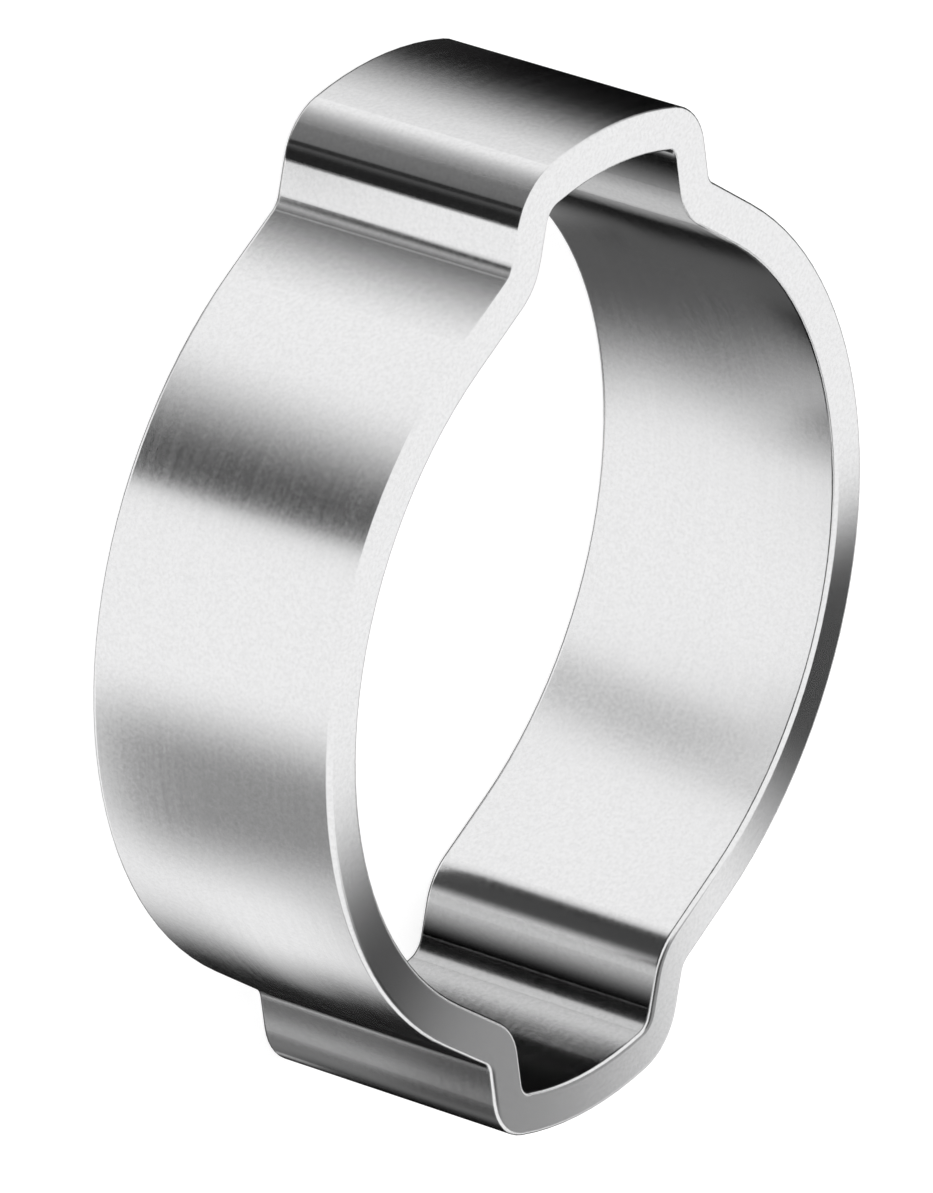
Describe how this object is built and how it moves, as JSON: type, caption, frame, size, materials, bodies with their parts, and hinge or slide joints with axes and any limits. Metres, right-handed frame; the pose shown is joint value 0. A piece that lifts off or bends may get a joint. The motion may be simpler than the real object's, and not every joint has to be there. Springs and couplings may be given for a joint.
{
  "type": "ear hose clamp",
  "caption": "Closed steel band clamp with hollow crimping ears on opposite sides; pincers squeeze the ears to tighten the band round a hose on its fitting.",
  "frame": {"origin": "centre of the ring, on the plane of the band edge it lies on", "axes": "+Z along the ring's axis, away from the surface it lies on; +Y through the middle of one ear, and the other ear is at -Y"},
  "size_m": [0.0256, 0.0306, 0.0084],
  "materials": {
    "plated_steel": "satin plated steel with a fine grain"
  },
  "bodies": {
    "root": {"clamp_ring": "plated_steel"}
  },
  "joints": []
}
